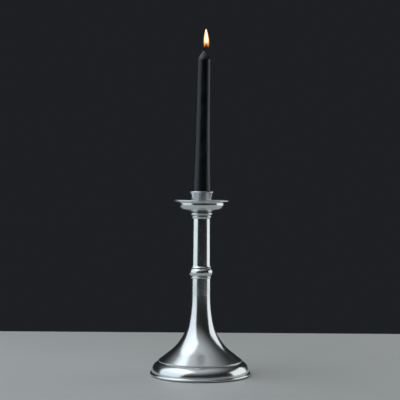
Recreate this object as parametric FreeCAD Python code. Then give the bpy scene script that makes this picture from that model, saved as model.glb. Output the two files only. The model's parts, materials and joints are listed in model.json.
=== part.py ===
"""A turned and spun silver candlestick with a lift-out nozzle and a black taper candle, in millimetres.

The stand is a stack of round pieces clamped by one tie rod: foot band, trumpet stem, knop, upper stem and
capital, closed underneath by a steel plate, an iron ballast and a felt pad. The nozzle is a candle cup screwed
through a drip pan to a plain spigot, and it drops into the capital's socket. The candle stands in the cup.
The stick's axis is +Z, and the origin is where that axis meets the surface that the felt pad rests on.
"""

import FreeCAD
import Part
import math
import os

V = FreeCAD.Vector

# Driving heights, from the table up
FELT_THICK = 2.1
RIM_BOTTOM_Z = 0.9  # the metal rim hangs this far above the table, so that only felt touches it
STEP_Z = 17.2  # the foot band's seat, on which the trumpet's lip sits
TRUMPET_TOP_Z = 119.4
KNOP_TOP_Z = 135.6
STEM_TOP_Z = 192.2
PAN_SEAT_Z = 201.0  # capital's top face, on which the drip pan rests
CANDLE_TOP_Z = 400.4

# Driving radii
FOOT_R = 62.3
BAND_R = 60.2
LIP_R = 51.7
NECK_R = 12.0  # trumpet at its top
STEM_TOP_R = 11.05
STEM_BOTTOM_R = 11.5
STEM_BORE_R = 9.8
PAN_R = 35.2
BOWL_R = 28.7
CUP_R = 12.5
CANDLE_R = 11.0

# Gauges and fits
SHEET = 1.3  # spun sheet of the trumpet
PAN_SHEET = 1.0
CUP_WALL = 1.15
SLIP = 0.05  # radial slack of the fixed spigots
LIFT_SLACK = 0.2  # radial slack of the lift-out nozzle
ROD_R = 3.0  # M6
ROD_HOLE_R = 3.3
SMALL_SCREW_R = 2.0  # M4


def on_circle(centre, radius, degrees):
    """A point of the section at that angle round centre, counted from +R towards +Z."""
    a = math.radians(degrees)
    return (centre[0] + radius * math.cos(a), centre[1] + radius * math.sin(a))


def arc(centre, radius, start, end):
    """A step along a circle for turned(): its middle point and its end point."""
    return (on_circle(centre, radius, (start + end) / 2), on_circle(centre, radius, end))


def bead(root_r, out_r, z, next_z):
    """A step for turned(): a round bead from z to next_z that stands out to out_r."""
    return ((out_r, (z + next_z) / 2), (root_r, next_z))


def turned(start, *steps):
    """A solid of revolution about Z. A step is (r, z) for a straight run, or (middle, end) for an arc."""
    here = V(start[0], 0, start[1])
    edges = []
    for step in [*steps, start]:
        end = step[1] if isinstance(step[0], tuple) else step
        there = V(end[0], 0, end[1])
        if isinstance(step[0], tuple):
            middle = V(step[0][0], 0, step[0][1])
            edges.append(Part.Arc(here, middle, there).toShape())
        elif here.distanceToPoint(there) > 1e-6:
            edges.append(Part.LineSegment(here, there).toShape())
        here = there
    return Part.Face(Part.Wire(edges)).revolve(V(0, 0, 0), V(0, 0, 1), 360)


# ---- foot ----

OVOLO_R = 12.5
OVOLO_END_DEG = 70.0
OVOLO_CENTRE = (BAND_R - OVOLO_R, STEP_Z - OVOLO_R)
BAND_GAUGE = 1.8
PLATE_TOP_Z = FELT_THICK + 1.5
PLATE_R = 58.0
REBATE_R = 58.2
DISH_Z = 11.5  # underside of the base plate's dish
WIRE_TOP_Z = 4.0
SEAT_WIDE = 3.0  # how far the trumpet's lip reaches in over its seat


def foot_band():
    """The moulded band: a rounded shoulder over an upright wall, with a ledge inside for the base plate."""
    seat_in_r, seat_out_r = LIP_R - SEAT_WIDE - 0.2, LIP_R - 0.4
    ledge_r = 56.2
    inner, inner_start, inner_end = OVOLO_R - BAND_GAUGE, 85, 4
    shoulder = on_circle(OVOLO_CENTRE, OVOLO_R, OVOLO_END_DEG)
    return turned(
        (REBATE_R, RIM_BOTTOM_Z),
        (BAND_R, RIM_BOTTOM_Z),
        (BAND_R, OVOLO_CENTRE[1]),
        arc(OVOLO_CENTRE, OVOLO_R, 0, OVOLO_END_DEG),
        (seat_out_r, shoulder[1]),
        (seat_out_r, STEP_Z),
        (seat_in_r, STEP_Z),
        (seat_in_r, STEP_Z - BAND_GAUGE),
        on_circle(OVOLO_CENTRE, inner, inner_start),
        arc(OVOLO_CENTRE, inner, inner_start, inner_end),
        (ledge_r, on_circle(OVOLO_CENTRE, inner, inner_end)[1]),
        (ledge_r, PLATE_TOP_Z),
        (REBATE_R, PLATE_TOP_Z),
    )


def foot_wire():
    """The half-round wire soldered round the bottom of the band, which stiffens the edge."""
    bead_r = FOOT_R - BAND_R
    bead_z = WIRE_TOP_Z - bead_r
    edge = 0.5
    return turned(
        (BAND_R, RIM_BOTTOM_Z),
        (FOOT_R - edge, RIM_BOTTOM_Z),
        arc((FOOT_R - edge, RIM_BOTTOM_Z + edge), edge, -90, 0),
        (FOOT_R, bead_z),
        arc((BAND_R, bead_z), bead_r, 0, 90),
    )


def base_plate():
    """The pressed steel plate that closes the foot, with a raised dish in the middle that hides the nut."""
    gauge = PLATE_TOP_Z - FELT_THICK
    dish_r, dish_foot_r, wall = 14.0, 18.0, 1.4
    plate = turned(
        (ROD_HOLE_R, DISH_Z),
        (dish_r, DISH_Z),
        (dish_foot_r, FELT_THICK),
        (PLATE_R, FELT_THICK),
        (PLATE_R, PLATE_TOP_Z),
        (dish_foot_r + wall, PLATE_TOP_Z),
        (dish_r + wall, DISH_Z + gauge),
        (ROD_HOLE_R, DISH_Z + gauge),
    )
    return plate.cut(ballast_screws(slot=False))


def ballast():
    """The cast-iron ring that weights the foot, crowned on top, with three tapped blind holes for its screws."""
    in_r, out_r, edge = 22.0, 47.0, 1.0
    side_z, crown_z = 10.0, 19.6
    crown_mid, crown_r = (39.5, 15.8), 29.0
    ring = turned(
        (in_r, PLATE_TOP_Z),
        (out_r - edge, PLATE_TOP_Z),
        (out_r, PLATE_TOP_Z + edge),
        (out_r, side_z),
        (crown_mid, (crown_r, crown_z)),
        (in_r + edge, crown_z),
        (in_r, crown_z - edge),
    )
    return ring.cut(ballast_screws(slot=False))


def ballast_screws(slot=True):
    """Three countersunk screws, evenly spaced, up through the base plate into the ballast."""
    circle_r, length = 36.0, 9.0
    screw = countersunk_screw(length, slot)
    screw.translate(V(circle_r, 0, FELT_THICK))
    return Part.makeCompound([turn(screw, angle) for angle in (90, 210, 330)])


def felt_pad():
    """The felt disc under the foot."""
    r, edge = 57.6, 0.4
    return turned(
        (0, 0),
        (r - edge, 0),
        (r, edge),
        (r, FELT_THICK - edge),
        (r - edge, FELT_THICK),
        (0, FELT_THICK),
    )


# ---- stem ----

ARC_UP_R = 162.0  # the trumpet's upper curve, which starts upright
ARC_LOW_R = 62.4
ARC_JOIN_DEG = 11.9  # lean from upright where the two curves meet
ARC_END_DEG = 52.2  # and where the lower curve runs out into a straight cone
LIP_TOP_Z = STEP_Z + 1.3


def trumpet_stem():
    """The spun lower stem: an upright neck that opens in two tangent curves and a cone to a lip on the foot."""
    up, low, lean = ARC_UP_R, ARC_LOW_R, math.radians(ARC_END_DEG)
    edge = 0.6
    lip_r = LIP_R - edge
    join, end = 180 + ARC_JOIN_DEG, 180 + ARC_END_DEG
    # The cone takes up the radius that the curves leave, and both centres lie on one normal at the join.
    run_r = lip_r - (NECK_R + up - (up - low) * math.cos(math.radians(ARC_JOIN_DEG)) - low * math.cos(lean))
    low_end_z = LIP_TOP_Z + run_r / math.tan(lean)
    low_centre = (lip_r - run_r + low * math.cos(lean), low_end_z + low * math.sin(lean))
    up_centre = on_circle(low_centre, up - low, ARC_JOIN_DEG)
    seat_r = LIP_R - SEAT_WIDE
    seat_rise = SHEET / math.sin(lean) - (lip_r - seat_r) / math.tan(lean)
    return turned(
        (NECK_R, TRUMPET_TOP_Z),
        (NECK_R, up_centre[1]),
        arc(up_centre, up, 180, join),
        arc(low_centre, low, join, end),
        (lip_r, LIP_TOP_Z),
        arc((lip_r, LIP_TOP_Z - edge), edge, 90, 0),
        (LIP_R, STEP_Z),
        (seat_r, STEP_Z),
        (seat_r, LIP_TOP_Z - seat_rise),
        on_circle(low_centre, low + SHEET, end),
        arc(low_centre, low + SHEET, end, join),
        arc(up_centre, up + SHEET, join, 180),
        (NECK_R - SHEET, TRUMPET_TOP_Z),
    )


KNOP_SPIGOT = 8.0  # length of the knop's spigot in each stem
LOW_COLLAR_Z = 121.7  # top of the bead at the knop's foot
CUSHION_LOW_Z = 122.3
CUSHION_TOP_Z = 131.6
CUSHION_R = 14.8
HIGH_COLLAR_Z = 132.6  # sharp edge of the flared collar above the cushion


def knop():
    """The turned knop between the two stems: a cushion between two thin collars, with a spigot at each end."""
    lower_r, upper_r = NECK_R - SHEET - SLIP, STEM_BORE_R - SLIP
    low_r, low_bead_r, waist_r, cushion_root_r, high_r = 12.35, 13.0, 12.2, 12.5, 13.15
    flare = ((12.25, HIGH_COLLAR_Z + 1.2), (11.75, KNOP_TOP_Z))
    low_z, high_z, chamfer, land = TRUMPET_TOP_Z - KNOP_SPIGOT, KNOP_TOP_Z + KNOP_SPIGOT, 0.5, 0.3
    return turned(
        (ROD_HOLE_R, low_z),
        (lower_r - chamfer, low_z),
        (lower_r, low_z + chamfer),
        (lower_r, TRUMPET_TOP_Z),
        (low_r, TRUMPET_TOP_Z),
        bead(low_r, low_bead_r, TRUMPET_TOP_Z, LOW_COLLAR_Z),
        (waist_r, LOW_COLLAR_Z + land),
        (cushion_root_r, CUSHION_LOW_Z),
        bead(cushion_root_r, CUSHION_R, CUSHION_LOW_Z, CUSHION_TOP_Z),
        (waist_r, CUSHION_TOP_Z + land),
        (high_r, HIGH_COLLAR_Z - 0.5),
        (high_r, HIGH_COLLAR_Z),
        flare,
        (upper_r, KNOP_TOP_Z),
        (upper_r, high_z - chamfer),
        (upper_r - chamfer, high_z),
        (ROD_HOLE_R, high_z),
    )


def upper_stem():
    """The upper stem: a tube that narrows slightly towards the top."""
    return turned(
        (STEM_BORE_R, KNOP_TOP_Z),
        (STEM_BOTTOM_R, KNOP_TOP_Z),
        (STEM_TOP_R, STEM_TOP_Z),
        (STEM_BORE_R, STEM_TOP_Z),
    )


SOCKET_R = 8.5
SOCKET_FLOOR_Z = 185.0
WEB_BOTTOM_Z = 179.0


CAPITAL_NECK_R = 11.35
LOW_BEAD = (193.6, 196.2)  # from and to, up the capital
HIGH_BEAD = (197.0, 200.4)


def capital():
    """The turned capital: two beads, a spigot in the stem, a socket for the nozzle, and a tapped web below it."""
    spigot_r = STEM_BORE_R - SLIP
    chamfer = 0.6
    low_r, low_out_r, cove_r, high_r, high_out_r, top_r = 11.7, 12.65, 11.9, 12.4, 14.0, 12.2
    return turned(
        (ROD_R, WEB_BOTTOM_Z),
        (spigot_r - chamfer, WEB_BOTTOM_Z),
        (spigot_r, WEB_BOTTOM_Z + chamfer),
        (spigot_r, STEM_TOP_Z),
        (CAPITAL_NECK_R, STEM_TOP_Z),
        (CAPITAL_NECK_R, LOW_BEAD[0] - 0.7),
        (low_r, LOW_BEAD[0]),
        bead(low_r, low_out_r, *LOW_BEAD),
        (cove_r, (LOW_BEAD[1] + HIGH_BEAD[0]) / 2),
        (high_r, HIGH_BEAD[0]),
        bead(high_r, high_out_r, *HIGH_BEAD),
        (top_r, HIGH_BEAD[1] + 0.2),
        (top_r, PAN_SEAT_Z),
        (SOCKET_R + chamfer, PAN_SEAT_Z),
        (SOCKET_R, PAN_SEAT_Z - chamfer),
        (SOCKET_R, SOCKET_FLOOR_Z),
        (ROD_R, SOCKET_FLOOR_Z),
    )


# ---- tie rod and its nut ----

WASHER_THICK = 1.6
NUT_HIGH = 5.0
ROD_BOTTOM_Z = 3.4
THREAD_PITCH = 1.0
THREAD_DEEP = 0.55


def thread(z, turns):
    """Steps up a threaded stretch, drawn as one ring-shaped groove for each turn of the thread."""
    steps = []
    for i in range(turns):
        root_z = z + (i + 0.5) * THREAD_PITCH
        steps += [(ROD_R - THREAD_DEEP, root_z), (ROD_R, root_z + THREAD_PITCH / 2)]
    return steps


def tie_rod():
    """The rod that clamps the stack, threaded into the capital's web and for its nut."""
    low_turns, high_turns, point = 18, 8, 0.5
    top_z = SOCKET_FLOOR_Z - 0.4
    low_z = ROD_BOTTOM_Z + point
    high_z = top_z - point - high_turns * THREAD_PITCH
    return turned(
        (0, ROD_BOTTOM_Z),
        (ROD_R - point, ROD_BOTTOM_Z),
        (ROD_R, low_z),
        *thread(low_z, low_turns),
        (ROD_R, high_z),
        *thread(high_z, high_turns),
        (ROD_R - point, top_z),
        (0, top_z),
    )


def base_washer():
    """The flat washer between the nut and the base plate's dish."""
    low, high, bore_r, r, edge = DISH_Z - WASHER_THICK, DISH_Z, 3.2, 6.0, 0.2
    return turned((bore_r, low), (r - edge, low), (r, low + edge), (r, high), (bore_r, high))


def base_nut():
    """The M6 hexagon nut, 10 mm across flats, with its corners chamfered on both faces."""
    across, high = 10.0, NUT_HIGH
    low = DISH_Z - WASHER_THICK - high
    corner_r = across / math.sqrt(3)
    drop = (corner_r - across / 2) * math.tan(math.radians(30))
    corners = [on_circle((0, 0), corner_r, 60 * i) for i in range(7)]
    outline = Part.makePolygon([V(x, y, low) for x, y in corners])
    prism = Part.Face(outline).extrude(V(0, 0, high))
    envelope = turned(
        (ROD_R, low),
        (across / 2, low),
        (corner_r, low + drop),
        (corner_r, low + high - drop),
        (across / 2, low + high),
        (ROD_R, low + high),
    )
    return prism.common(envelope)


def countersunk_screw(length, slot):
    """An M4 countersunk screw that points up from its head's face at z 0, with or without its driver slot."""
    head_r, brim, point = 3.8, 0.2, 0.6
    screw = turned(
        (0, 0),
        (head_r, 0),
        (head_r, brim),
        (SMALL_SCREW_R, brim + head_r - SMALL_SCREW_R),
        (SMALL_SCREW_R, length - point),
        (SMALL_SCREW_R - point, length),
        (0, length),
    )
    if slot:
        width, deep = 0.9, 0.9
        screw = screw.cut(Part.makeBox(2 * head_r, width, deep, V(-head_r, -width / 2, 0)))
    return screw


def turn(shape, degrees):
    """A copy of the shape turned about Z."""
    copy = shape.copy()
    copy.rotate(V(0, 0, 0), V(0, 0, 1), degrees)
    return copy


# ---- nozzle: drip pan, candle cup and spigot ----

PAN_FLOOR_Z = PAN_SEAT_Z + PAN_SHEET
CUP_FLOOR_Z = PAN_FLOOR_Z + 2.4
RIM_Z = 215.0  # top of the pan's flat rim where its edge wire starts
BOWL_CORNER_R = 7.0
BOWL_CORNER_Z = 211.0
BOWL_SLOPE_DEG = 17.0
WIRE_BACK_R = 34.0
CUP_FLARE_Z = 213.0
CUP_FLARE_R = 30.5
CUP_FLARE_DEG = 22.3
CUP_LIP_R = 0.95


def drip_pan():
    """The spun drip pan: a shallow bowl with a flat rim, and a level seat in the middle."""
    corner = (BOWL_R - BOWL_CORNER_R, BOWL_CORNER_Z)
    inner_r = BOWL_CORNER_R - PAN_SHEET
    down = BOWL_SLOPE_DEG - 90
    outside = on_circle(corner, BOWL_CORNER_R, down)
    inside = on_circle(corner, inner_r, down)
    fall = math.tan(math.radians(BOWL_SLOPE_DEG))
    seat_out_r = outside[0] - (outside[1] - PAN_SEAT_Z) / fall
    seat_in_r = inside[0] - (inside[1] - PAN_FLOOR_Z) / fall
    rise, turn_r = 0.6, 1.6  # the rim's rise to its edge, and its bend out of the bowl
    rim_low = RIM_Z - PAN_SHEET
    turn_at = (BOWL_R + turn_r, rim_low - rise - turn_r)
    return turned(
        (SMALL_SCREW_R, PAN_SEAT_Z),
        (seat_out_r, PAN_SEAT_Z),
        outside,
        arc(corner, BOWL_CORNER_R, down, 0),
        (BOWL_R, turn_at[1]),
        arc(turn_at, turn_r, 180, 95),
        (WIRE_BACK_R, rim_low),
        (WIRE_BACK_R, RIM_Z),
        on_circle(turn_at, turn_r + PAN_SHEET, 95),
        arc(turn_at, turn_r + PAN_SHEET, 95, 180),
        (BOWL_R - PAN_SHEET, corner[1]),
        arc(corner, inner_r, 0, down),
        (seat_in_r, PAN_FLOOR_Z),
        (SMALL_SCREW_R, PAN_FLOOR_Z),
    )


def pan_rim_wire():
    """The D-section wire soldered round the pan's rim."""
    proud, corner = 0.4, 0.25
    low, high = RIM_Z - PAN_SHEET - proud / 2, RIM_Z + proud
    middle = (low + high) / 2
    return turned(
        (WIRE_BACK_R, low),
        (WIRE_BACK_R + corner, low),
        ((PAN_R, middle), (WIRE_BACK_R + corner, high)),
        (WIRE_BACK_R, high),
    )


def candle_cup():
    """The candle cup: a straight bore with a floor, and a mouth that opens in one curve to a rolled lip."""
    centre = (CUP_R + CUP_FLARE_R, CUP_FLARE_Z)
    inner = CUP_FLARE_R + CUP_WALL
    bore_r = CUP_R - CUP_WALL
    mouth = 180 - CUP_FLARE_DEG
    edge = on_circle(centre, CUP_FLARE_R + CUP_WALL / 2, mouth)
    reach = CUP_LIP_R + math.sqrt(CUP_LIP_R**2 - (CUP_WALL / 2) ** 2)
    crown = on_circle(edge, reach, mouth - 90)
    foot_r, foot_rise, fillet = 11.8, 0.8, 1.0
    cup = turned(
        (SMALL_SCREW_R, PAN_FLOOR_Z),
        (foot_r, PAN_FLOOR_Z),
        (CUP_R, PAN_FLOOR_Z + foot_rise),
        (CUP_R, CUP_FLARE_Z),
        arc(centre, CUP_FLARE_R, 180, mouth),
        (crown, on_circle(centre, inner, mouth)),
        arc(centre, inner, mouth, 180),
        (bore_r, CUP_FLOOR_Z + fillet),
        (bore_r - fillet, CUP_FLOOR_Z),
        (SMALL_SCREW_R, CUP_FLOOR_Z),
    )
    return cup.cut(nozzle_screw(slot=False))


def nozzle_spigot():
    """The plug screwed under the pan, which drops into the capital's socket."""
    r, low, lead = SOCKET_R - LIFT_SLACK, SOCKET_FLOOR_Z + 0.6, 1.2
    hollow_r, hollow_z = 5.5, 190.0
    tapped_z = 191.6
    return turned(
        (hollow_r, low),
        (r - lead, low),
        (r, low + lead),
        (r, PAN_SEAT_Z),
        (SMALL_SCREW_R, PAN_SEAT_Z),
        (SMALL_SCREW_R, tapped_z),
        (0, tapped_z),
        (0, hollow_z),
        (hollow_r, hollow_z),
    )


def nozzle_screw(slot=True):
    """The countersunk screw that holds cup, pan and spigot together, head up and flush with the cup's floor."""
    length = 12.0
    screw = countersunk_screw(length, slot)
    screw.rotate(V(0, 0, 0), V(1, 0, 0), 180)
    screw.translate(V(0, 0, CUP_FLOOR_Z))
    return screw


# ---- candle ----

WICK_R = 0.9
FOOT_END_Z = 231.0  # the candle's foot is straight up to here
EASE = (9.9, 262.0)
TAPER = (9.15, 298.0)  # start of the long taper
SHOULDER = (7.8, 387.0)  # and its end
SHOULDER_MID = (7.2, 390.5)
CONE = (5.6, 393.6)
TIP = (1.8, CANDLE_TOP_Z - 1.4)
TIP_MID = (1.5, CANDLE_TOP_Z - 0.4)


def candle_wax():
    """The tapered candle: a straight foot, a long taper, a rounded shoulder and a cone up to the wick."""
    chamfer = 0.8
    return turned(
        (WICK_R, CUP_FLOOR_Z),
        (CANDLE_R - chamfer, CUP_FLOOR_Z),
        (CANDLE_R, CUP_FLOOR_Z + chamfer),
        (CANDLE_R, FOOT_END_Z),
        EASE,
        TAPER,
        SHOULDER,
        (SHOULDER_MID, CONE),
        TIP,
        (TIP_MID, (WICK_R, CANDLE_TOP_Z)),
    )


def candle_wick():
    """The wick: straight through the candle, then bent over a little above it."""
    start, bend_z, bend_r, lean, tail = CUP_FLOOR_Z + 0.4, CANDLE_TOP_Z + 1.2, 8.0, 30.0, 1.2
    pivot = (bend_r, bend_z)
    middle_x, middle_z = on_circle(pivot, bend_r, 180 - lean / 2)
    over_x, over_z = on_circle(pivot, bend_r, 180 - lean)
    a = math.radians(lean)
    bottom, knee, over = V(0, 0, start), V(0, 0, bend_z), V(over_x, 0, over_z)
    end = over + V(math.sin(a), 0, math.cos(a)) * tail
    path = Part.Wire(
        [
            Part.LineSegment(bottom, knee).toShape(),
            Part.Arc(knee, V(middle_x, 0, middle_z), over).toShape(),
            Part.LineSegment(over, end).toShape(),
        ]
    )
    section = Part.Wire(Part.makeCircle(WICK_R, bottom, V(0, 0, 1)))
    return path.makePipeShell([section], True, False)


PIECES = {
    "foot_band": foot_band,
    "foot_wire": foot_wire,
    "base_plate": base_plate,
    "ballast": ballast,
    "ballast_screws": ballast_screws,
    "felt_pad": felt_pad,
    "trumpet_stem": trumpet_stem,
    "knop": knop,
    "upper_stem": upper_stem,
    "capital": capital,
    "tie_rod": tie_rod,
    "base_washer": base_washer,
    "base_nut": base_nut,
    "drip_pan": drip_pan,
    "pan_rim_wire": pan_rim_wire,
    "candle_cup": candle_cup,
    "nozzle_spigot": nozzle_spigot,
    "nozzle_screw": nozzle_screw,
    "candle_wax": candle_wax,
    "candle_wick": candle_wick,
}

os.makedirs("parts", exist_ok=True)
for name, make in PIECES.items():
    shape = make()
    shape.exportStep(f"parts/{name}.step")
    box = shape.BoundBox
    print(
        f"{name:16s} solids {len(shape.Solids)} valid {shape.isValid()} volume {shape.Volume:9.1f} mm3 "
        f"x {box.XMin:7.2f} {box.XMax:7.2f} z {box.ZMin:7.2f} {box.ZMax:7.2f}"
    )
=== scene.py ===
import bpy
import json
import math
from mathutils import Matrix, Vector, noise


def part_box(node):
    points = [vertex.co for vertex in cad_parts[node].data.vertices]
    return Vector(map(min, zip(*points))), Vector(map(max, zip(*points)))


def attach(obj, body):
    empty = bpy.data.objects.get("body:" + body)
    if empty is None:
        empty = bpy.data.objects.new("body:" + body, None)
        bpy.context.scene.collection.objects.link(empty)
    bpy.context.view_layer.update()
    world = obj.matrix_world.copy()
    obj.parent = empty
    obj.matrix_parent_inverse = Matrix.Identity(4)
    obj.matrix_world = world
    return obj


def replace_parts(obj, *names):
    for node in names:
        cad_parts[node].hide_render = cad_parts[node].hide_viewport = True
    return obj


# The silver candlestick: packed metal parts in satin silver, and a taper, wick, flame and felt built here.
# Lengths are metres in the part's own frame, with Z up and the table at Z 0.

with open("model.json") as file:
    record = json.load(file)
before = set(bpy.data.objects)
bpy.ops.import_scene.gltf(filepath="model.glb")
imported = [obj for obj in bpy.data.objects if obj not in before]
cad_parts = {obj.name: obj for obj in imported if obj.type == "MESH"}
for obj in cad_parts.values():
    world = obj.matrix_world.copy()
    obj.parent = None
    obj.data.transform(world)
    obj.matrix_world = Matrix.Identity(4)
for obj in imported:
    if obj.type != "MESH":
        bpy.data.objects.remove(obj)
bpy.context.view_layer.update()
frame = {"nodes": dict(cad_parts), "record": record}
nodes = frame["nodes"]

MM = 0.001
TURN = 2 * math.pi


# ---- shader helpers ----

def new_material(name, **values):
    """A material with one Principled shader and its plain values by name, as (material, tree, shader)."""
    material = bpy.data.materials.new(name)
    material.use_nodes = True
    tree = material.node_tree
    principled = tree.nodes["Principled BSDF"]
    for key, value in values.items():
        principled.inputs[key.replace("_", " ").title()].default_value = value
    return material, tree, principled


def add_node(tree, kind, settings=None, **inputs):
    """A new shader node. settings are its own options, and inputs are values or sockets for its sockets."""
    made = tree.nodes.new("ShaderNode" + kind)
    for key, value in (settings or {}).items():
        setattr(made, key, value)
    for key, value in inputs.items():
        plug(tree, value, made.inputs[key.replace("_", " ").title()])
    return made


def plug(tree, value, socket):
    """Joins an output to the socket, or sets the socket to a plain value."""
    if isinstance(value, bpy.types.NodeSocket):
        tree.links.new(value, socket)
    else:
        socket.default_value = value


def maths(tree, operation, a, b=0.0):
    """The output of a Math node on two values or sockets."""
    made = tree.nodes.new("ShaderNodeMath")
    made.operation = operation
    plug(tree, a, made.inputs[0])
    plug(tree, b, made.inputs[1])
    return made.outputs[0]


def spread(tree, value, low, high, start=0.0, end=1.0):
    """value, which runs from start to end, stretched to run from low to high and clamped there."""
    made = add_node(tree, "MapRange", value=value, from_min=start, from_max=end, to_min=low, to_max=high)
    return made.outputs[0]


def blend_colours(tree, share, a, b):
    """Colour a where share is 0, and colour b where it is 1."""
    made = tree.nodes.new("ShaderNodeMix")
    made.data_type = "RGBA"
    plug(tree, share, made.inputs[0])
    plug(tree, a, made.inputs[6])
    plug(tree, b, made.inputs[7])
    return made.outputs[2]


def cloud(tree, vector, scale, detail=3.0, roughness=0.5):
    """A noise texture's grey output."""
    made = add_node(tree, "TexNoise", vector=vector, scale=scale, detail=detail, roughness=roughness)
    return made.outputs[0]


def add_bump(tree, principled, height, strength, distance):
    """Bumps the shader by a height, distance metres for each unit of it."""
    made = add_node(tree, "Bump", height=height, strength=strength, distance=distance)
    tree.links.new(made.outputs[0], principled.inputs["Normal"])


def lathe_space(tree, along):
    """Object coordinates, plain and as a lathe sees them: radius, height, angle round Z times along."""
    place = add_node(tree, "TexCoord").outputs["Object"]
    split = add_node(tree, "SeparateXYZ", vector=place)
    x, y, z = split.outputs
    squares = maths(tree, "ADD", maths(tree, "MULTIPLY", x, x), maths(tree, "MULTIPLY", y, y))
    radius = maths(tree, "SQRT", squares)
    angle = maths(tree, "MULTIPLY", maths(tree, "ARCTAN2", y, x), along)
    return place, add_node(tree, "CombineXYZ", x=radius, y=z, z=angle).outputs[0]


# ---- materials ----

def satin_silver(name):
    """Spun and buffed silver: faint marks round the axis, a soft haze, and a little tarnish in corners."""
    material, tree, principled = new_material(name, metallic=1.0, anisotropic=0.3, anisotropic_rotation=0.25)
    place, turned = lathe_space(tree, along=0.0006)
    marks = cloud(tree, turned, scale=1800, detail=4, roughness=0.6)
    haze = cloud(tree, place, scale=45, detail=3)
    corners = add_node(tree, "AmbientOcclusion", {"samples": 4}, distance=2.5 * MM).outputs["AO"]
    bright, worn, tarnish = (0.8, 0.815, 0.82, 1), (0.73, 0.745, 0.75, 1), (0.3, 0.3, 0.29, 1)
    metal = blend_colours(tree, spread(tree, haze, 0, 1, 0.35, 0.7), bright, worn)
    colour = blend_colours(tree, spread(tree, corners, 0.75, 0, 0.25, 0.8), metal, tarnish)
    plug(tree, colour, principled.inputs["Base Color"])
    uneven = maths(tree, "ADD", maths(tree, "MULTIPLY", marks, 0.5), maths(tree, "MULTIPLY", haze, 0.5))
    plug(tree, spread(tree, uneven, 0.17, 0.22, 0.35, 0.65), principled.inputs["Roughness"])
    add_bump(tree, principled, marks, strength=0.5, distance=0.003 * MM)
    around = add_node(tree, "Tangent", {"direction_type": "RADIAL", "axis": "Z"})
    plug(tree, around.outputs[0], principled.inputs["Tangent"])
    return material


def plain_steel(name):
    """Bright zinc-plated steel for the hidden plate, rod and fasteners."""
    material, tree, principled = new_material(name, metallic=1.0)
    place = add_node(tree, "TexCoord").outputs["Object"]
    spangle = cloud(tree, place, scale=380, detail=4)
    colour = blend_colours(tree, spangle, (0.46, 0.47, 0.49, 1), (0.62, 0.63, 0.64, 1))
    plug(tree, colour, principled.inputs["Base Color"])
    plug(tree, spread(tree, spangle, 0.32, 0.5), principled.inputs["Roughness"])
    add_bump(tree, principled, spangle, strength=0.2, distance=0.02 * MM)
    return material


def cast_iron(name):
    """Black iron as it comes from the sand."""
    material, tree, principled = new_material(name, metallic=0.6)
    place = add_node(tree, "TexCoord").outputs["Object"]
    grain = cloud(tree, place, scale=900, detail=6, roughness=0.7)
    colour = blend_colours(tree, grain, (0.03, 0.03, 0.03, 1), (0.09, 0.08, 0.075, 1))
    plug(tree, colour, principled.inputs["Base Color"])
    plug(tree, spread(tree, grain, 0.6, 0.85), principled.inputs["Roughness"])
    add_bump(tree, principled, grain, strength=0.8, distance=0.15 * MM)
    return material


def felt(name):
    """Green baize: short matted fibres with a soft sheen."""
    material, tree, principled = new_material(name, roughness=0.95, sheen_weight=0.5, sheen_roughness=0.5)
    place = add_node(tree, "TexCoord").outputs["Object"]
    fibres = cloud(tree, place, scale=1700, detail=6, roughness=0.75)
    mottle = cloud(tree, place, scale=140, detail=3)
    share = maths(tree, "ADD", maths(tree, "MULTIPLY", fibres, 0.7), maths(tree, "MULTIPLY", mottle, 0.3))
    deep, light = (0.008, 0.03, 0.014, 1), (0.03, 0.085, 0.045, 1)
    colour = blend_colours(tree, spread(tree, share, 0, 1, 0.3, 0.7), deep, light)
    plug(tree, colour, principled.inputs["Base Color"])
    add_bump(tree, principled, fibres, strength=0.9, distance=0.25 * MM)
    return material


def black_wax(name, melt_and_highlight_z):
    """Dyed black wax, smooth from dipping, with a faint bloom. Above the height it is given it is slick from
    melting, and a lighter grey that is partly the melted wax's own colour and partly a painted highlight.
    """
    material, tree, principled = new_material(name)
    principled.inputs["IOR"].default_value = 1.5
    place = add_node(tree, "TexCoord").outputs["Object"]
    bloom = cloud(tree, place, scale=90, detail=4, roughness=0.6)
    pores = cloud(tree, place, scale=1500, detail=2)
    dips = cloud(tree, lathe_space(tree, along=0.01)[1], scale=160, detail=2)
    height = add_node(tree, "SeparateXYZ", vector=place).outputs[2]
    uneven = maths(tree, "ADD", height, maths(tree, "MULTIPLY", bloom, 4 * MM))
    # The melted tip: slicker wax, and a lighter grey there that is partly the melted wax and partly a painted
    # highlight on the tip.
    melted = spread(tree, uneven, 0, 1, melt_and_highlight_z, melt_and_highlight_z + 8 * MM)
    black, bloomed, grey = (0.004, 0.0045, 0.006, 1), (0.012, 0.013, 0.016, 1), (0.055, 0.06, 0.068, 1)
    dyed = blend_colours(tree, spread(tree, bloom, 0, 1, 0.4, 0.75), black, bloomed)
    colour = blend_colours(tree, melted, dyed, grey)
    plug(tree, colour, principled.inputs["Base Color"])
    dull = spread(tree, bloom, 0.3, 0.42, 0.3, 0.7)
    slick = maths(tree, "MULTIPLY", melted, 0.2)
    plug(tree, maths(tree, "SUBTRACT", dull, slick), principled.inputs["Roughness"])
    relief = maths(tree, "ADD", maths(tree, "MULTIPLY", pores, 0.15), dips)
    add_bump(tree, principled, relief, strength=0.35, distance=0.12 * MM)
    return material


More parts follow.
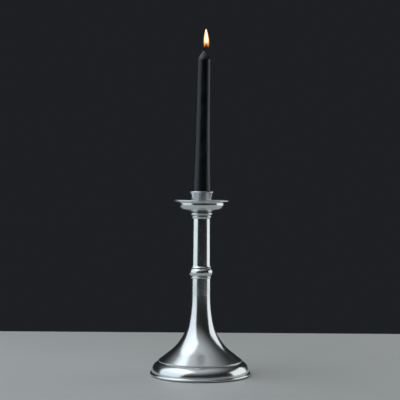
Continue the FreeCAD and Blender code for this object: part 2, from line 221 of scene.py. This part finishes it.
def charred_wick(name, tip_z, glow_length):
    """Burnt cotton: soot with ash at its edges, and an ember over its last glow_length."""
    material, tree, principled = new_material(name, roughness=0.95, emission_strength=6.0)
    place = add_node(tree, "TexCoord").outputs["Object"]
    ash = cloud(tree, place, scale=2500, detail=5, roughness=0.7)
    soot, pale_ash = (0.006, 0.005, 0.005, 1), (0.07, 0.06, 0.055, 1)
    colour = blend_colours(tree, spread(tree, ash, 0, 1, 0.55, 0.75), soot, pale_ash)
    plug(tree, colour, principled.inputs["Base Color"])
    height = add_node(tree, "SeparateXYZ", vector=place).outputs[2]
    ember = maths(tree, "MULTIPLY", spread(tree, height, 0, 1, tip_z - glow_length, tip_z), ash)
    glow = blend_colours(tree, ember, (0, 0, 0, 1), (1.0, 0.16, 0.02, 1))
    plug(tree, glow, principled.inputs["Emission Color"])
    add_bump(tree, principled, ash, strength=0.8, distance=0.1 * MM)
    return material


def flame_glow(name, low_z, high_z, colours, opacity, strength):
    """Light from a flame's skin. colours and opacity are (share of its height, value) stops, lowest first."""
    material, tree, principled = new_material(name, roughness=1.0, emission_strength=strength)
    principled.inputs["Base Color"].default_value = (0, 0, 0, 1)
    principled.inputs["Specular IOR Level"].default_value = 0.0
    place = add_node(tree, "TexCoord").outputs["Object"]
    height = add_node(tree, "SeparateXYZ", vector=place).outputs[2]
    share = spread(tree, height, 0, 1, low_z, high_z)
    greys = [(at, (a, a, a, 1)) for at, a in opacity]
    plug(tree, ramp(tree, share, colours), principled.inputs["Emission Color"])
    plug(tree, ramp(tree, share, greys), principled.inputs["Alpha"])
    return material


def ramp(tree, share, stops):
    """A colour ramp's output, from (place, colour) stops."""
    made = add_node(tree, "ValToRGB", fac=share)
    made.color_ramp.interpolation = "EASE"
    elements = made.color_ramp.elements
    while len(elements) < len(stops):
        elements.new(0.5)
    for element, (at, colour) in zip(elements, stops):
        element.position = at
        element.color = colour
    return made.outputs[0]


# ---- meshes built here ----

def new_piece(name, points, faces, material, body):
    """A smooth-shaded mesh piece that rides on a body and wears the material it is given."""
    mesh = bpy.data.meshes.new(name)
    mesh.from_pydata(points, [], faces)
    mesh.polygons.foreach_set("use_smooth", [True] * len(mesh.polygons))
    piece = bpy.data.objects.new(name, mesh)
    bpy.context.scene.collection.objects.link(piece)
    mesh.materials.append(material)
    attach(piece, body)
    return piece


def lathe(profile, around, shape=None):
    """Points and faces of a closed solid of revolution. profile is (radius, height) pairs, from the point on
    the axis underneath round to the one on top. shape may move a point, and gets it and its angle."""
    foot, *rings, top = profile
    points = [Vector((0, 0, foot[1]))]
    for radius, height in rings:
        for i in range(around):
            angle = TURN * i / around
            points.append(Vector((radius * math.cos(angle), radius * math.sin(angle), height)))
    points.append(Vector((0, 0, top[1])))
    if shape:
        points = [shape(p, math.atan2(p.y, p.x)) for p in points]
    last = len(points) - 1
    faces = []
    for i in range(around):
        j = (i + 1) % around
        faces.append((0, 1 + j, 1 + i))
        for ring in range(len(rings) - 1):
            low, high = 1 + ring * around, 1 + (ring + 1) * around
            faces.append((low + i, low + j, high + j, high + i))
        high = 1 + (len(rings) - 1) * around
        faces.append((high + i, high + j, last))
    return points, faces


def smooth_line(stops, count):
    """count + 1 points along a smooth curve through the stops, evenly spaced by stop number (Catmull-Rom)."""
    with_ends = [2 * stops[0] - stops[1], *stops, 2 * stops[-1] - stops[-2]]
    line = []
    for k in range(count + 1):
        at = k * (len(stops) - 1) / count
        i = min(int(at), len(stops) - 2)
        t = at - i
        a, b, c, d = with_ends[i : i + 4]
        square, cube = 2 * a - 5 * b + 4 * c - d, 3 * b - a - 3 * c + d
        line.append(0.5 * (2 * b + (c - a) * t + square * t**2 + cube * t**3))
    return line


def run(start, end, steps):
    """Evenly spaced (radius, height) pairs from start to just before end."""
    return [
        (start[0] + (end[0] - start[0]) * i / steps, start[1] + (end[1] - start[1]) * i / steps)
        for i in range(steps)
    ]


# ---- candle ----

WAX_LOW, WAX_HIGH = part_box("candle_wax")
_, WICK_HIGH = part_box("candle_wick")
FOOT_R = (WAX_HIGH.x - WAX_LOW.x) / 2
CHAMFER = 0.8 * MM
EASE_LOW_Z = WAX_LOW.z + 26.6 * MM  # the upright foot ends here, and eases into the taper
EASE_MID_R = 9.9 * MM
EASE_HIGH_Z = WAX_LOW.z + 93.6 * MM  # and from here the sides run straight to the shoulder
EASE_HIGH_R = 9.15 * MM
# The melted tip as (radius, depth below the wax's top) in millimetres, from its shoulder up.
TIP_LINE = [(8.1, 13.4), (8.0, 11.6), (7.4, 9.8), (6.3, 7.4), (4.7, 5.2), (3.3, 3.4), (2.4, 1.8), (1.2, 0.7)]
SHOULDER_R = TIP_LINE[0][0] * MM
SHOULDER_Z = WAX_HIGH.z - TIP_LINE[0][1] * MM
WICK_FOOT_Z = WAX_HIGH.z - 1.6 * MM
WAVE = 0.22 * MM  # how far the sides bulge or dip
RUN_OFF = 0.5 * MM  # how uneven the melted tip is round its middle
TIP_SHIFT = 0.4 * MM  # how far the melted tip's top is off the axis
LEAN = 0.0115  # sideways for each unit of height above the cup
LEAN_FOOT_Z = 226 * MM  # the cup's lip


def lean(z):
    """How far the candle leans to +X at height z. Like most candles it isn't quite upright in its cup."""
    return Vector((LEAN * max(0.0, z - LEAN_FOOT_Z), 0, 0))


def wax_taper():
    """The dipped taper, with slightly wavy sides, a melted tip, and a small well round the wick."""
    foot_z = WAX_LOW.z
    profile = [(0, foot_z)]
    profile += run((0.5 * FOOT_R, foot_z), (FOOT_R - CHAMFER, foot_z), 3)
    profile += run((FOOT_R - CHAMFER, foot_z), (FOOT_R, foot_z + CHAMFER), 3)
    profile += run((FOOT_R, foot_z + CHAMFER), (FOOT_R, EASE_LOW_Z), 10)
    ease_mid = Vector((EASE_MID_R, 0, (EASE_LOW_Z + EASE_HIGH_Z) / 2 - 2 * MM))
    ease = smooth_line([Vector((FOOT_R, 0, EASE_LOW_Z)), ease_mid, Vector((EASE_HIGH_R, 0, EASE_HIGH_Z))], 30)
    profile += [(p.x, p.z) for p in ease[:-1]]
    profile += run((EASE_HIGH_R, EASE_HIGH_Z), (SHOULDER_R, SHOULDER_Z), 50)
    tip = smooth_line([Vector((r * MM, 0, WAX_HIGH.z - below * MM)) for r, below in TIP_LINE], 28)
    profile += [(p.x, p.z) for p in tip]
    profile += [(0.8 * MM, WAX_HIGH.z - 1.2 * MM), (0, WAX_HIGH.z - 1.4 * MM)]

    def shape(point, angle):
        loose = min(1.0, max(0.0, (point.z - EASE_LOW_Z) / (30 * MM)))
        wave = noise.noise(Vector((point.x * 35, point.y * 35, point.z * 22))) * WAVE
        run_off = noise.noise(Vector((math.cos(angle) * 1.6, math.sin(angle) * 1.6, 7.0))) * RUN_OFF
        melt = min(1.0, max(0.0, (point.z - SHOULDER_Z) / (13 * MM)))
        outwards = Vector((math.cos(angle), math.sin(angle), 0)) if point.xy.length > 1e-6 else Vector()
        moved = point + outwards * (wave * loose + run_off * melt * (1 - melt) * 2)
        moved.x += TIP_SHIFT * melt
        return moved + lean(point.z)

    points, faces = lathe(profile, 96, shape)
    wax = black_wax("black_wax", SHOULDER_Z + 1.5 * MM)
    return new_piece("wax_taper", points, faces, wax, "candle")


def braided_wick():
    """Three plaited cotton strands from inside the wax up and over to the tip, stiff with soot."""
    stops = [
        Vector((0.3 * MM, 0, WAX_HIGH.z - 9 * MM)),
        Vector((0.3 * MM, 0, WICK_FOOT_Z)),
        Vector((0.5 * MM, 0, WAX_HIGH.z + 1.0 * MM)),
        Vector((1.3 * MM, 0.1 * MM, WAX_HIGH.z + 3.2 * MM)),
        Vector((2.6 * MM, 0.2 * MM, WICK_HIGH.z - 0.9 * MM)),
    ]
    centre = smooth_line([stop + lean(stop.z) for stop in stops], 72)
    strand_r, twist_r, sides, turns = 0.42 * MM, 0.36 * MM, 10, 5.0
    burnt = 0.2  # the last share of the wick, which thins to its tip
    points, faces = [], []
    for strand in range(3):
        first = len(points)
        for k, middle in enumerate(centre):
            share = k / (len(centre) - 1)
            phase = TURN * (turns * share + strand / 3)
            ending = max(0.0, (share - 1 + burnt) / burnt)
            thin = math.sqrt(max(0.02, 1 - ending**2))
            fray = 1 + 0.25 * noise.noise(Vector((middle.z * 1500, strand * 3.1, 0.5)))
            hub = middle + Vector((math.cos(phase), math.sin(phase), 0)) * twist_r * (0.5 + 0.5 * thin)
            for s in range(sides):
                angle = TURN * s / sides
                points.append(hub + Vector((math.cos(angle), math.sin(angle), 0)) * strand_r * thin * fray)
        for k in range(len(centre) - 1):
            low, high = first + k * sides, first + (k + 1) * sides
            for s in range(sides):
                t = (s + 1) % sides
                faces.append((low + s, low + t, high + t, high + s))
        faces.append(tuple(first + s for s in reversed(range(sides))))
        faces.append(tuple(len(points) - sides + s for s in range(sides)))
    material = charred_wick("charred_wick", WICK_HIGH.z - 0.5 * MM, 2.0 * MM)
    return new_piece("braided_wick", points, faces, material, "candle")


# ---- flame ----

FLAME_FOOT = Vector((2.7 * MM, 0.1 * MM, WICK_HIGH.z - 3.5 * MM)) + lean(WICK_HIGH.z)
FLAME_TALL = 23.6 * MM
# Outlines as (radius in millimetres, share of the height), from the axis under the flame round to its tip.
FLAME_LINE = [(0, 0.2), (1.3, 0.15), (2.5, 0.02), (3.1, 0.0), (3.55, 0.08), (3.8, 0.22), (3.8, 0.36)]
FLAME_LINE += [(3.5, 0.49), (2.95, 0.62), (2.3, 0.74), (1.55, 0.86), (0.75, 0.96), (0, 1.0)]
HOLLOW_LINE = [(0, 0.0), (1.5, 0.04), (2.0, 0.2), (1.9, 0.45), (1.2, 0.8), (0, 1.0)]
NOTCH_RISE = 0.18  # share of the height that the flame's lower edge goes up at its front and back
NOTCH_END = 0.36  # share of the height where that rise has died out


def flame_layer(name, line, low, high, width, strength, colours, opacity):
    """One skin of the flame, from share low to share high of its height, at a share of its line's width. It
    hangs lowest at its left and right, and the wick shows between."""
    stops = [Vector((r * width * MM, 0, low + (high - low) * share)) for r, share in line]
    profile = [(max(0.0, p.x), p.z) for p in smooth_line(stops, 60)]

    def shape(point, angle):
        notch = NOTCH_RISE * math.sin(angle) ** 2 * max(0.0, 1 - point.z / NOTCH_END)
        rise = point.z + notch * min(1.0, point.xy.length / MM)
        sway = Vector((0.12 * math.sin(5 * rise) - 0.35 * rise, 0.25 * math.sin(4 * rise), 0)) * MM
        return Vector((point.x, point.y, rise * FLAME_TALL)) + FLAME_FOOT + sway

    low_z, high_z = FLAME_FOOT.z + low * FLAME_TALL, FLAME_FOOT.z + high * FLAME_TALL
    glow = flame_glow(name, low_z, high_z, colours, opacity, strength)
    points, faces = lathe(profile, 48, shape)
    new_piece(name, points, faces, glow, "candle")


def candle_flame():
    """The lit flame: a white core in thinner yellow and orange skins, with a dark hollow round the wick."""
    white, pale, gold = (1.0, 0.9, 0.72, 1), (1.0, 0.62, 0.2, 1), (1.0, 0.45, 0.1, 1)
    orange, red, brown = (1.0, 0.28, 0.05, 1), (0.6, 0.12, 0.015, 1), (0.05, 0.014, 0.004, 1)
    flame_layer(
        "flame_core", FLAME_LINE, low=0.12, high=0.95, width=0.56, strength=6.0,
        colours=[(0, pale), (0.3, white)], opacity=[(0.12, 0), (0.38, 1)],
    )
    flame_layer(
        "flame_body", FLAME_LINE, low=0.05, high=0.97, width=0.72, strength=2.0,
        colours=[(0.05, gold), (0.4, pale)], opacity=[(0, 0.1), (0.3, 0.55)],
    )
    flame_layer(
        "flame_mantle", FLAME_LINE, low=0.02, high=0.985, width=0.86, strength=1.1,
        colours=[(0, red), (0.3, gold)], opacity=[(0, 0.15), (0.25, 0.38)],
    )
    flame_layer(
        "flame_skin", FLAME_LINE, low=0.0, high=1.0, width=1.0, strength=0.6,
        colours=[(0, red), (0.3, orange)], opacity=[(0, 0.05), (0.25, 0.22)],
    )
    flame_layer(
        "flame_hollow", HOLLOW_LINE, low=-0.1, high=0.26, width=1.0, strength=1.0,
        colours=[(0.3, brown), (1, red)], opacity=[(0.2, 0), (0.5, 0.8), (1, 0)],
    )


# ---- felt ----

def felt_disc():
    """The felt under the foot: a flat disc with a soft, slightly uneven cut edge."""
    low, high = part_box("felt_pad")
    radius, top = (high.x - low.x) / 2, high.z
    edge, ragged, inner_r = 0.5 * MM, 0.12 * MM, 0.2 * radius
    profile = [(0, 0)] + run((inner_r, 0), (radius - edge, 0), 14)
    for i in range(9):
        angle = math.pi * (i / 8 - 0.5)
        profile.append((radius - edge + edge * math.cos(angle), top / 2 + top / 2 * math.sin(angle)))
    profile += run((radius - edge, top), (inner_r, top), 14)[1:] + [(inner_r, top), (0, top)]

    def shape(point, angle):
        if point.xy.length < radius - 2 * edge:
            return point
        inwards = noise.noise(Vector((math.cos(angle) * 40, math.sin(angle) * 40, point.z * 900))) * ragged
        return point - point.xy.to_3d().normalized() * (ragged + inwards)

    points, faces = lathe(profile, 220, shape)
    disc = new_piece("felt_disc", points, faces, felt("green_felt"), "stand")
    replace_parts(disc, "felt_pad")


# ---- build ----

def finish_metal():
    """Gives each packed metal part its finish."""
    looks = {
        "silver": satin_silver("satin_silver"),
        "plain_steel": plain_steel("plain_steel"),
        "cast_iron": cast_iron("cast_iron"),
    }
    for entry in frame["record"]["subparts"]:
        look = looks.get(entry["material_slot"])
        if look:
            for material_slot in nodes[entry["node"]].material_slots:
                material_slot.material = look


finish_metal()
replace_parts(wax_taper(), "candle_wax")
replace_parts(braided_wick(), "candle_wick")
candle_flame()
felt_disc()


# ---- studio ----

FLOOR_BACK = 0.4
FLOOR_FRONT = 0.55
FLOOR_HALF = 0.9
LIGHTS_AIM = Vector((0, 0, 0.15))
CAMERA_AWAY = 1.37
CAMERA_HIGH = 0.229
CAMERA_X = -1.7 * MM
CAMERA_ROLL_DEG = 0.4
AIM_Z = 0.2157
FOCAL_SHARE = 2.775  # focal length over picture width
GLOW_FROM = Vector((-0.2, -0.1, 0.97))


def pale_floor():
    """The plain pale table top, on which the candlestick stands."""
    material, tree, principled = new_material("pale_floor", roughness=0.5)
    place = add_node(tree, "TexCoord").outputs["Object"]
    tone = cloud(tree, place, scale=6, detail=4)
    colour = blend_colours(tree, tone, (0.7, 0.69, 0.67, 1), (0.76, 0.75, 0.73, 1))
    plug(tree, colour, principled.inputs["Base Color"])
    mesh = bpy.data.meshes.new("floor")
    x, back, front = FLOOR_HALF, FLOOR_BACK, -FLOOR_FRONT
    mesh.from_pydata([(-x, front, 0), (x, front, 0), (x, back, 0), (-x, back, 0)], [], [(0, 1, 2, 3)])
    mesh.materials.append(material)
    floor = bpy.data.objects.new("floor", mesh)
    bpy.context.scene.collection.objects.link(floor)


def softbox(name, azimuth, elevation, away, width, height, brightness, colour):
    """A rectangular light that faces the candlestick. Azimuth 0 is the camera's side and 90 is +X. Brightness
    is the panel's own, so a mirror shows it the same at any size or distance."""
    a, e = math.radians(azimuth), math.radians(elevation)
    towards = Vector((math.sin(a) * math.cos(e), -math.cos(a) * math.cos(e), math.sin(e)))
    light = bpy.data.lights.new(name, "AREA")
    light.shape = "RECTANGLE"
    light.size, light.size_y = width, height
    light.energy = brightness * math.pi * width * height
    light.color = colour
    lamp = bpy.data.objects.new(name, light)
    lamp.location = LIGHTS_AIM + towards * away
    lamp.rotation_mode = "QUATERNION"
    lamp.rotation_quaternion = towards.to_track_quat("Z", "Y")
    lamp.visible_camera = False
    bpy.context.scene.collection.objects.link(lamp)


def studio_sky():
    """Dim surroundings, with a soft glow above the candlestick."""
    world = bpy.data.worlds.new("studio")
    world.use_nodes = True
    tree = world.node_tree
    background = tree.nodes["Background"]
    direction = add_node(tree, "TexCoord").outputs["Generated"]
    towards = add_node(tree, "VectorMath", {"operation": "DOT_PRODUCT"})
    plug(tree, direction, towards.inputs[0])
    plug(tree, GLOW_FROM.normalized(), towards.inputs[1])
    glow = maths(tree, "POWER", spread(tree, towards.outputs["Value"], 0, 1, 0.4, 0.95), 2.0)
    sky = blend_colours(tree, glow, (0.0125, 0.014, 0.016, 1), (0.5, 0.52, 0.54, 1))
    plug(tree, sky, background.inputs["Color"])
    bpy.context.scene.world = world


def camera():
    """A long lens a little above the foot, with the candlestick upright in the middle."""
    data = bpy.data.cameras.new("camera")
    data.sensor_width = 36
    data.lens = data.sensor_width * FOCAL_SHARE
    made = bpy.data.objects.new("camera", data)
    made.location = (CAMERA_X, -CAMERA_AWAY, CAMERA_HIGH)
    towards = Vector((0, CAMERA_AWAY, AIM_Z - CAMERA_HIGH))
    roll = Matrix.Rotation(math.radians(CAMERA_ROLL_DEG), 3, "Z")
    made.rotation_euler = (towards.to_track_quat("-Z", "Y").to_matrix() @ roll).to_euler()
    bpy.context.scene.collection.objects.link(made)
    bpy.context.scene.camera = made


pale_floor()
softbox("key_left", -77, 32, 1.15, 1.6, 2.0, 1.06, (0.82, 0.94, 1.0))
softbox("strip_right", 109, 8, 1.0, 1.06, 0.74, 1.02, (0.95, 1.0, 1.0))
studio_sky()
camera()
bpy.context.scene.view_settings.view_transform = "Standard"
